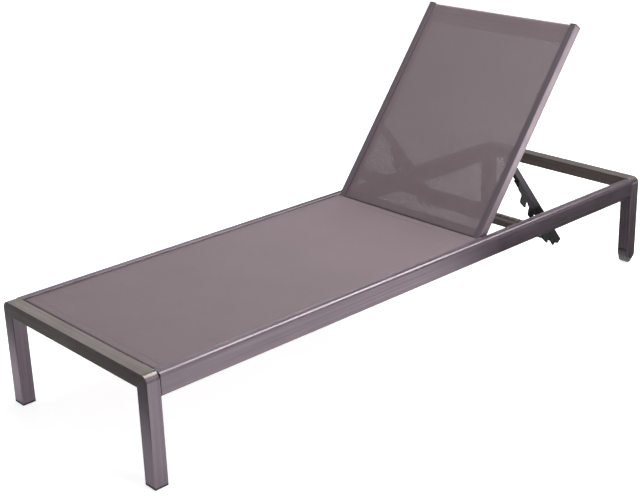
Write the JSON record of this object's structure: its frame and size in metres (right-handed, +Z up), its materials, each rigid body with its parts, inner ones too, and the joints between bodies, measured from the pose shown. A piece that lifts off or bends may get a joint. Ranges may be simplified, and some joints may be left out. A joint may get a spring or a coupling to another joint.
{
  "type": "sun lounger",
  "caption": "Flat sun lounger with a sling seat, a reclining sling back on hooked props, and rollers in the head legs.",
  "frame": {"origin": "on the floor, under the middle of the frame", "axes": "+X towards the head end, +Y to the left of someone lying on it, +Z up"},
  "size_m": [2.005, 0.65, 0.8652],
  "materials": {
    "frame": "brushed bronze",
    "plate": "satin",
    "steel": "satin",
    "nylon": "matt",
    "roller": "satin",
    "sling": "open coated mesh",
    "spline": "matt"
  },
  "bodies": {
    "base": {"foot_crossbar": "frame", "foot_leg_left": "frame", "foot_leg_right": "frame", "foot_glides": "nylon", "head_crossbar": "frame", "head_leg_left": "frame", "head_leg_right": "frame", "side_rail_left": "frame", "side_rail_right": "frame", "rail_spigots": "plate", "rail_screws": "steel", "seat_sling": "sling", "seat_splines": "spline", "seat_bar": "frame", "catch_rod": "steel", "catch_plates": "plate", "catch_rivets": "steel", "hinge_bolts": "steel", "hinge_inserts": "steel", "wheel_forks": "nylon", "wheel_axles": "steel"},
    "backrest": {"back_rail_left": "frame", "back_rail_right": "frame", "back_caps": "nylon", "back_lower_bar": "frame", "back_upper_bar": "frame", "back_sling": "sling", "back_splines": "spline", "hinge_bushes": "nylon", "prop_brackets": "plate", "bracket_rivets": "steel", "pivot_pins": "steel"},
    "prop": {"prop_strut_left": "frame", "prop_strut_right": "frame", "prop_bar": "frame", "rack_left": "nylon", "rack_right": "nylon", "rack_screws": "steel", "strut_bushes": "nylon", "strut_plugs": "nylon"},
    "left_wheel": {"wheel_left": "roller"},
    "right_wheel": {"wheel_right": "roller"}
  },
  "joints": [
    {"name": "back_hinge", "type": "hinge", "parent": "base", "child": "backrest", "pos_m": [0.22, 0, 0.284], "axis": [0, 1, 0], "range_deg": [0, 52.34]},
    {"name": "prop_pivot", "type": "hinge", "parent": "backrest", "child": "prop", "pos_m": [0.38657, 0, 0.4864], "axis": [0, 1, 0], "range_deg": [-100.3, 0]},
    {"name": "left_roller", "type": "hinge", "parent": "base", "child": "left_wheel", "pos_m": [0.98, 0.304, 0.025], "axis": [0, 1, 0], "continuous": true},
    {"name": "right_roller", "type": "hinge", "parent": "base", "child": "right_wheel", "pos_m": [0.98, -0.304, 0.025], "axis": [0, 1, 0], "continuous": true}
  ],
  "couplings": [
    {"joint": "prop_pivot", "follows": "back_hinge", "ratio": -1.9161}
  ]
}
